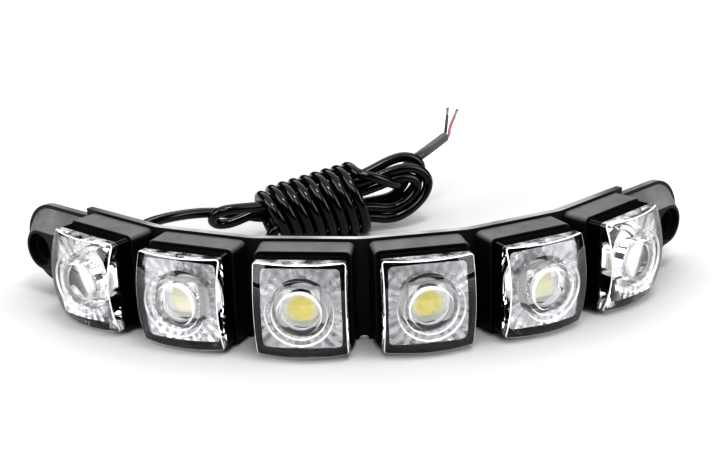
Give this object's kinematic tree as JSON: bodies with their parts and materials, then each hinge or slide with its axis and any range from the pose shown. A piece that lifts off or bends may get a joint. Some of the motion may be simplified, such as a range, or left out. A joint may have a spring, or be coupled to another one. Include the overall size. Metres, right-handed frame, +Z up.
{
  "type": "daytime running light",
  "caption": "Flexible car daytime running light: square domed lamps in a bent black rubber strip with screw lugs, and a wrapped two-core cable.",
  "frame": {"origin": "middle of the strip's box on the surface that it stands on, without the cable", "axes": "+X along the strip to the right seen from the front, lamps face -Y, +Z up"},
  "size_m": [0.1974, 0.1407, 0.0331],
  "materials": {
    "rubber_black": "satin moulded rubber",
    "case_black": "smooth black plastic",
    "lens_clear": "clear polished plastic",
    "reflector_silver": "bright metallised plastic",
    "board_white": "white-masked metal-core board",
    "led_body": "white ceramic-like plastic",
    "phosphor_yellow": "yellow phosphor in clear resin",
    "wire_insulation": "plain insulation",
    "cable_sheath": "semi-gloss black sheath",
    "core_red": "red core insulation with a tinned tip",
    "core_black": "black core insulation with a tinned tip"
  },
  "bodies": {
    "root": {"carrier_strip": "rubber_black", "cable_grommet": "rubber_black", "feed_wires": "wire_insulation", "link_wires_1": "wire_insulation", "link_wires_2": "wire_insulation", "link_wires_3": "wire_insulation", "link_wires_4": "wire_insulation", "link_wires_5": "wire_insulation", "module_case_1": "case_black", "module_case_2": "case_black", "module_case_3": "case_black", "module_case_4": "case_black", "module_case_5": "case_black", "module_case_6": "case_black", "lens_1": "lens_clear", "lens_2": "lens_clear", "lens_3": "lens_clear", "lens_4": "lens_clear", "lens_5": "lens_clear", "lens_6": "lens_clear", "reflector_1": "reflector_silver", "reflector_2": "reflector_silver", "reflector_3": "reflector_silver", "reflector_4": "reflector_silver", "reflector_5": "reflector_silver", "reflector_6": "reflector_silver", "led_board_1": "board_white", "led_board_2": "board_white", "led_board_3": "board_white", "led_board_4": "board_white", "led_board_5": "board_white", "led_board_6": "board_white", "led_package_1": "led_body", "led_package_2": "led_body", "led_package_3": "led_body", "led_package_4": "led_body", "led_package_5": "led_body", "led_package_6": "led_body", "led_phosphor_1": "phosphor_yellow", "led_phosphor_2": "phosphor_yellow", "led_phosphor_3": "phosphor_yellow", "led_phosphor_4": "phosphor_yellow", "led_phosphor_5": "phosphor_yellow", "led_phosphor_6": "phosphor_yellow", "cable_lead": "cable_sheath", "cable_hank": "cable_sheath", "cable_tail": "cable_sheath", "wire_red": "core_red", "wire_black": "core_black"}
  },
  "joints": []
}
